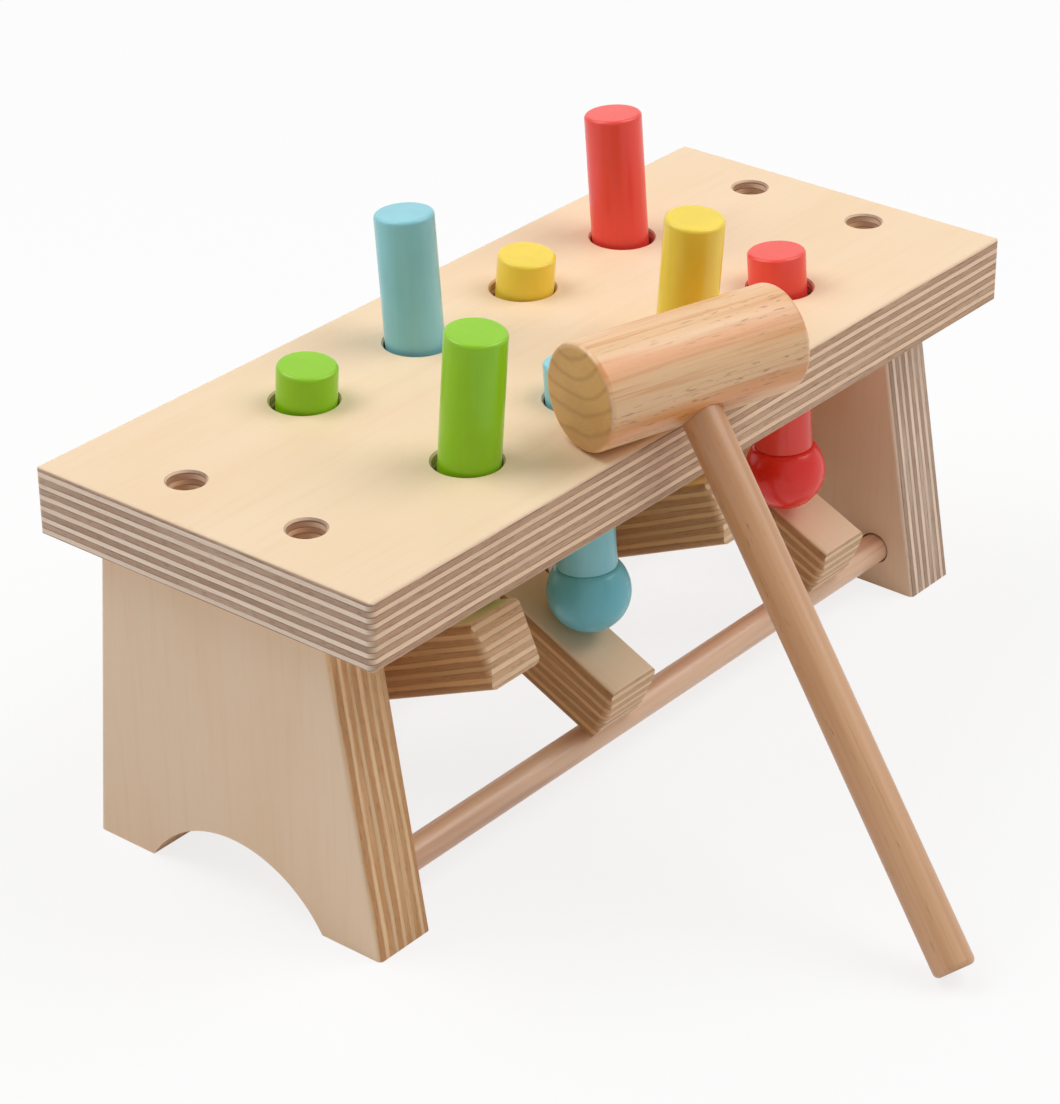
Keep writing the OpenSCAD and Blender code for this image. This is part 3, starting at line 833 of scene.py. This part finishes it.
def screw_tree():
    """Tree that sets a screw, with its thread and cross recess, at each point of a mesh."""
    sizes = dict.fromkeys(("Shank", "Thread", "Length", "Pitch", "Head", "Height"), "Float")
    tree = GeometryTree("Wood screws", Places="Geometry", Body="Object", **sizes, Seed="Int", Finish="Material")
    given = tree.given
    body = tree.add("GeometryNodeObjectInfo", {"Object": given["Body"]})

    threaded = tree.math("MULTIPLY", given["Length"], THREAD_SHARE)
    radius = tree.math("MULTIPLY", given["Shank"], 0.5)
    spiral = tree.add("GeometryNodeCurveSpiral", {"Rotations": tree.math("DIVIDE", threaded, given["Pitch"]),
                                                  "Start Radius": radius, "End Radius": radius,
                                                  "Height": threaded, "Resolution": THREAD_STEPS})
    rise = tree.math("SUBTRACT", given["Thread"], given["Shank"])
    crest = tree.add("GeometryNodeCurvePrimitiveCircle",
                     {"Resolution": THREAD_SIDES, "Radius": tree.math("MULTIPLY", rise, 0.5)}, mode="RADIUS")
    thread = tree.add("GeometryNodeCurveToMesh", {"Curve": spiral.outputs["Curve"],
                                                  "Profile Curve": crest.outputs["Curve"], "Fill Caps": True})
    down = tree.add("ShaderNodeCombineXYZ", {"Z": tree.math("MULTIPLY", given["Length"], -THREAD_END)})
    lower = tree.add("GeometryNodeTransform", {"Geometry": thread.outputs["Mesh"], "Translation": down.outputs[0]})

    blade = tree.math("MULTIPLY", given["Height"], RECESS_WIDTH)
    span = tree.math("MULTIPLY", given["Head"], RECESS_SPAN)
    recess = tree.add("GeometryNodeJoinGeometry", {})
    for x, y in ((span, blade), (blade, span)):
        size = tree.add("ShaderNodeCombineXYZ", {"X": x, "Y": y, "Z": given["Height"]})
        cube = tree.add("GeometryNodeMeshCube", {"Size": size.outputs[0]})
        tree.feed(recess.inputs["Geometry"], cube.outputs["Mesh"])
    up = tree.add("ShaderNodeCombineXYZ", {"Z": given["Height"]})
    raised = tree.add("GeometryNodeTransform", {"Geometry": recess.outputs["Geometry"],
                                                "Translation": up.outputs[0]})
    cut = tree.add("GeometryNodeMeshBoolean", {"Mesh 1": body.outputs["Geometry"],
                                               "Mesh 2": raised.outputs["Geometry"]},
                   operation="DIFFERENCE", solver="EXACT")

    whole = tree.add("GeometryNodeJoinGeometry", {"Geometry": cut.outputs["Mesh"]})
    tree.feed(whole.inputs["Geometry"], lower.outputs["Geometry"])
    turn = tree.add("FunctionNodeRandomValue", {"Min": (0.0, 0.0, 0.0), "Max": (0.0, 0.0, math.tau),
                                                "Seed": given["Seed"]}, data_type="FLOAT_VECTOR")
    screws = tree.add("GeometryNodeInstanceOnPoints", {"Points": given["Places"],
                                                       "Instance": whole.outputs["Geometry"],
                                                       "Rotation": turn.outputs["Value"]})
    return tree.finish(screws.outputs["Instances"])


class BENCH_OT_screws(bpy.types.Operator):
    """Set the screws that hold the legs, down in their counterbores"""
    bl_idname = "pounding_bench.screws"
    bl_label = "Screws"

    def execute(self, context):
        settings = context.scene.pounding_bench
        sizes = settings.screws
        metal = dull_metal("plated_steel", list(sizes.metal))
        head, shank = sizes.head_diameter / 2, sizes.shank_diameter / 2
        top = sizes.head_height
        bevel, bevel_rim, seat_rim = 0.9 * MM, 0.5 * MM, 0.1 * MM
        point = 3 * shank
        line = rounded([(0, top, 0), (head - bevel, top, bevel_rim), (head, top - bevel, bevel_rim),
                        (head, 0, seat_rim), (shank, 0, 0), (shank, -sizes.length + point, 0),
                        (0, -sizes.length, 0)])
        body = turned("screw_body", line, Matrix.Identity(4), metal, 48)

        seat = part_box("bench_top")[1].z - sizes.depth
        low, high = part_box("leg_screws")
        inset = sizes.head_diameter / 2
        places = [(x, y, seat) for x in (low.x + inset, high.x - inset) for y in (low.y + inset, high.y - inset)]
        mesh = bpy.data.meshes.new("steel_leg_screws")
        mesh.from_pydata(places, [], [])
        screws = bpy.data.objects.new("steel_leg_screws", mesh)
        context.scene.collection.objects.link(screws)
        modifier = screws.modifiers.new("Wood screws", "NODES")
        modifier.node_group = shared_tree("Wood screws", screw_tree)
        for name, value in (("Body", body), ("Shank", sizes.shank_diameter), ("Thread", sizes.thread_diameter),
                            ("Length", sizes.length), ("Pitch", sizes.pitch), ("Head", sizes.head_diameter),
                            ("Height", sizes.head_height), ("Seed", sizes.seed), ("Finish", metal)):
            set_input(modifier, name, value)
        settle(screws, Matrix.Identity(4), metal)
        bpy.data.objects.remove(body)
        stand_for(screws, "leg_screws", "bench")
        return {"FINISHED"}


class BENCH_OT_stage(bpy.types.Operator):
    """Set up the floor, the light and the camera"""
    bl_idname = "pounding_bench.stage"
    bl_label = "Stage"

    def execute(self, context):
        stage = context.scene.pounding_bench.stage
        scene = context.scene
        scene.view_settings.view_transform = "Standard"
        self.camera(scene, stage)
        self.floor(scene, stage)
        self.world(scene, stage)
        self.lamp(scene, "left_light", LEFT_PLACE, stage.left_light)
        self.lamp(scene, "right_light", RIGHT_PLACE, stage.right_light)
        return {"FINISHED"}

    def camera(self, scene, stage):
        level = math.cos(stage.elevation)
        back = Vector((math.sin(stage.azimuth) * level, -math.cos(stage.azimuth) * level, math.sin(stage.elevation)))
        right = (-back).cross(Vector((0, 0, 1))).normalized()
        up = back.cross(right)
        roll = stage.roll
        right, up = right * math.cos(roll) + up * math.sin(roll), up * math.cos(roll) - right * math.sin(roll)
        lens = bpy.data.cameras.new("camera")
        lens.sensor_fit = "VERTICAL"
        lens.sensor_height = SENSOR
        lens.lens = stage.focal_pixels / IMAGE_HEIGHT * SENSOR
        lens.clip_start = 0.01
        camera = bpy.data.objects.new("camera", lens)
        camera.matrix_world = Matrix.Translation(stage.eye) @ Matrix((right, up, back)).transposed().to_4x4()
        scene.collection.objects.link(camera)
        scene.camera = camera

    def floor(self, scene, stage):
        mesh = bpy.data.meshes.new("floor")
        reach = FLOOR_REACH
        corners = [(-reach, -reach, 0), (reach, -reach, 0), (reach, reach, 0), (-reach, reach, 0)]
        mesh.from_pydata(corners, [], [(0, 1, 2, 3)])
        floor = bpy.data.objects.new("floor", mesh)
        scene.collection.objects.link(floor)
        tree = ShaderTree("pale_floor")
        position = tree.position()
        cloud = tree.noise(position, FLOOR_WAVES)
        colour = tree.mix(tree.between(cloud, 0.3, 0.7), stage.floor, [0.985 * level for level in stage.floor])
        tree.feed(tree.shader.inputs["Base Color"], colour)
        tree.shader.inputs["Roughness"].default_value = 0.9
        glow = tree.add("ShaderNodeEmission", {"Color": (1, 1, 1, 1), "Strength": 1.0})
        fade = tree.between(tree.length(position), GLOW_FROM, GLOW_TO, GLOW_NEAR, GLOW_FAR)
        blend = tree.add("ShaderNodeMixShader", {0: tree.math("MULTIPLY", tree.seen(), fade),
                                                 1: tree.shader.outputs[0], 2: glow.outputs[0]})
        tree.links.new(blend.outputs[0], tree.nodes["Material Output"].inputs["Surface"])
        mesh.materials.append(tree.material)

    def world(self, scene, stage):
        scene.world = bpy.data.worlds.new("studio")
        scene.world.use_nodes = True
        tree = NodeTree(scene.world.node_tree)
        tree.nodes.clear()
        strength = tree.between(tree.seen(), 0.0, 1.0, stage.ambient, 1.0)
        light = tree.add("ShaderNodeBackground", {"Color": (1, 1, 1, 1), "Strength": strength})
        tree.add("ShaderNodeOutputWorld", {"Surface": light.outputs[0]})

    def lamp(self, scene, name, place, power):
        light = bpy.data.lights.new(name, "AREA")
        light.shape = "SQUARE"
        light.size = LAMP_SIZE
        light.energy = power
        lamp = bpy.data.objects.new(name, light)
        aim = Vector(LAMP_AIM) - Vector(place)
        lamp.matrix_world = Matrix.Translation(place) @ aim.to_track_quat("-Z", "Y").to_matrix().to_4x4()
        scene.collection.objects.link(lamp)


class BENCH_PT_panel(bpy.types.Panel):
    """The bench's pieces and what a user would change"""
    bl_idname = "BENCH_PT_panel"
    bl_label = "Peg pounding bench"
    bl_space_type = "VIEW_3D"
    bl_region_type = "UI"
    bl_category = "Bench"

    def draw(self, context):
        for operator in OPERATORS:
            self.layout.operator(operator.bl_idname)
        settings = context.scene.pounding_bench
        for group in ("plywood", "turned", "mallet", "paint", "screws", "stage"):
            box = self.layout.box()
            box.label(text=group.capitalize())
            for name in getattr(settings, group).__annotations__:
                box.prop(getattr(settings, group), name)


GROUPS = (PlywoodSettings, TurnedSettings, MalletSettings, PaintSettings, ScrewSettings, StageSettings, BenchSettings)
OPERATORS = (BENCH_OT_boards, BENCH_OT_levers, BENCH_OT_rods, BENCH_OT_pegs, BENCH_OT_mallet, BENCH_OT_screws,
             BENCH_OT_stage)


def register():
    for cls in (*GROUPS, *OPERATORS, BENCH_PT_panel):
        bpy.utils.register_class(cls)
    bpy.types.Scene.pounding_bench = PointerProperty(type=BenchSettings)


def unregister():
    del bpy.types.Scene.pounding_bench
    for cls in reversed((*GROUPS, *OPERATORS, BENCH_PT_panel)):
        bpy.utils.unregister_class(cls)


def main():
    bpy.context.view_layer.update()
    register()
    bpy.ops.pounding_bench.boards()
    bpy.ops.pounding_bench.levers()
    bpy.ops.pounding_bench.rods()
    bpy.ops.pounding_bench.pegs()
    bpy.ops.pounding_bench.mallet()
    bpy.ops.pounding_bench.screws()
    bpy.ops.pounding_bench.stage()


if __name__ == "__main__":
    main()
